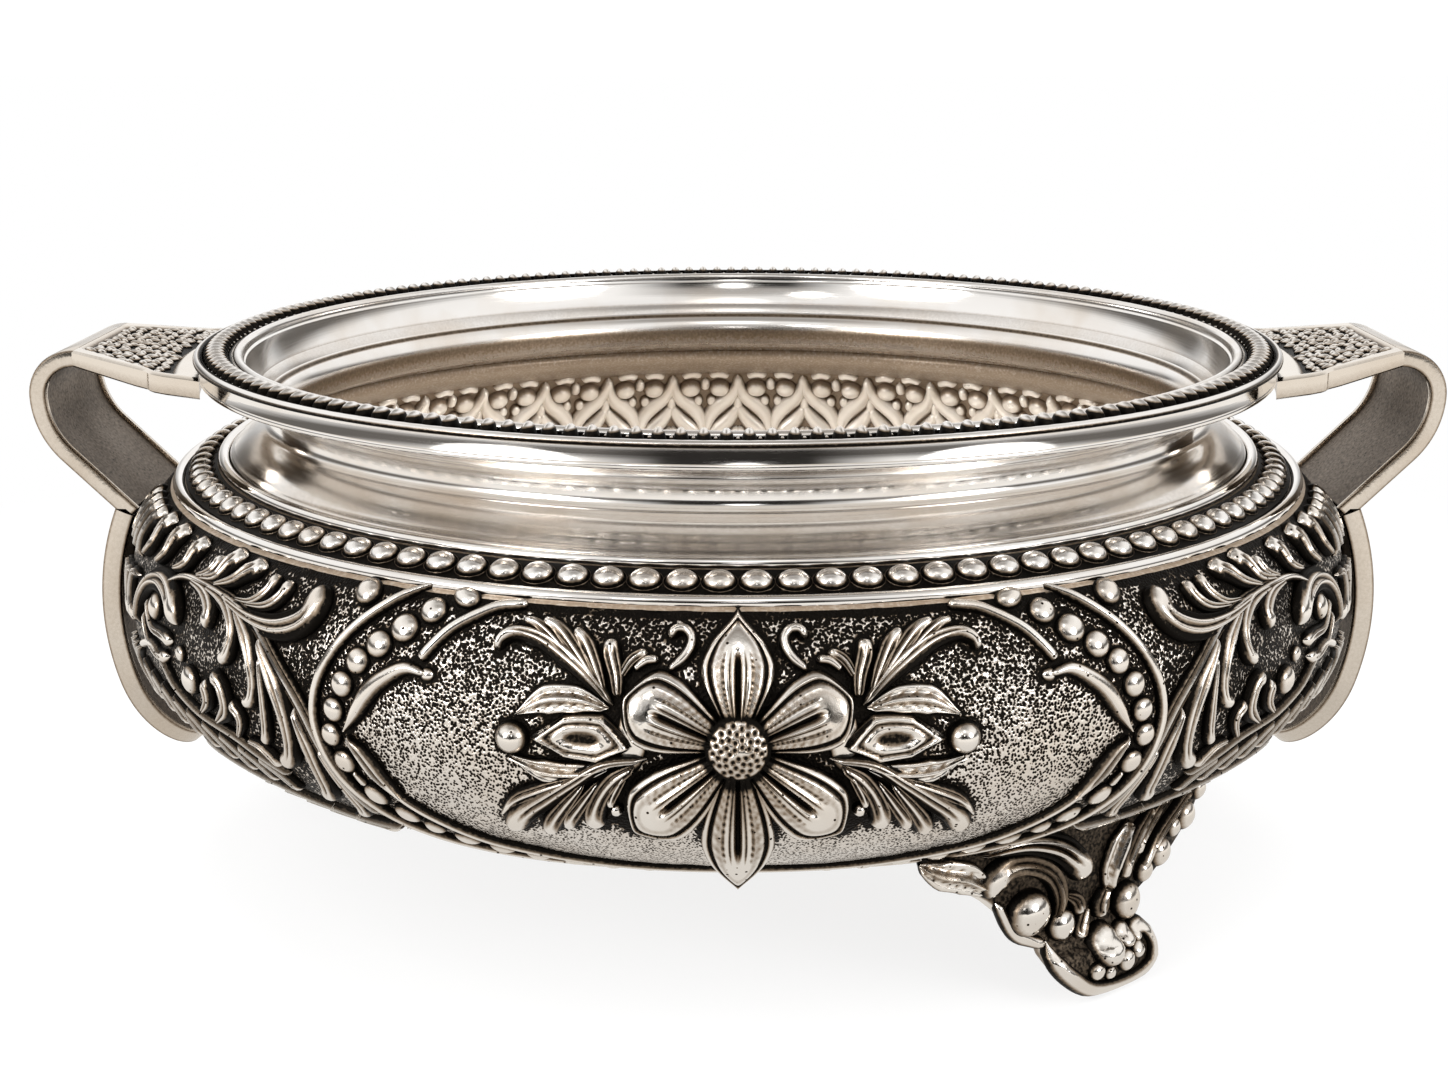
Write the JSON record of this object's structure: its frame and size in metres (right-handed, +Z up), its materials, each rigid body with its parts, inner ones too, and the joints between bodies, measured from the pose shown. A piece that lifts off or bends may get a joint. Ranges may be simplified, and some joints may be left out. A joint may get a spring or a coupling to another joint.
{
  "type": "footed offering bowl",
  "caption": "Round footed bowl with a flared beaded rim, two strap handles on curved escutcheons, bracket feet and applied flowers, for offerings and floating flowers.",
  "frame": {"origin": "on the table, under the middle of the bowl", "axes": "+X through the right hand handle, -Y towards the front flower, +Z up"},
  "size_m": [0.305, 0.2802, 0.1148],
  "materials": {
    "oxidised_silver": "white metal with a silver face, relief rubbed bright and black oxide left in the recesses and punched ground",
    "polished_silver": "polished silver with fine turning lines",
    "satin_silver": "satin silver with bright edges and a little tarnish"
  },
  "bodies": {
    "root": {"bowl_body": "oxidised_silver", "neck_collar": "polished_silver", "rim_ring": "polished_silver", "rim_bead_wire": "oxidised_silver", "shoulder_moulding": "satin_silver", "shoulder_bead_strip": "oxidised_silver", "shoulder_wire": "satin_silver", "left_handle_top_plate": "oxidised_silver", "left_handle_strap": "satin_silver", "left_escutcheon": "satin_silver", "left_escutcheon_saddle": "oxidised_silver", "right_handle_top_plate": "oxidised_silver", "right_handle_strap": "satin_silver", "right_escutcheon": "satin_silver", "right_escutcheon_saddle": "oxidised_silver", "front_right_foot": "oxidised_silver", "back_right_foot": "oxidised_silver", "back_left_foot": "oxidised_silver", "front_flower": "oxidised_silver", "front_flower_boss": "oxidised_silver", "front_left_spray": "oxidised_silver", "front_right_spray": "oxidised_silver", "back_flower": "oxidised_silver", "back_flower_boss": "oxidised_silver", "back_left_spray": "oxidised_silver", "back_right_spray": "oxidised_silver"}
  },
  "joints": []
}
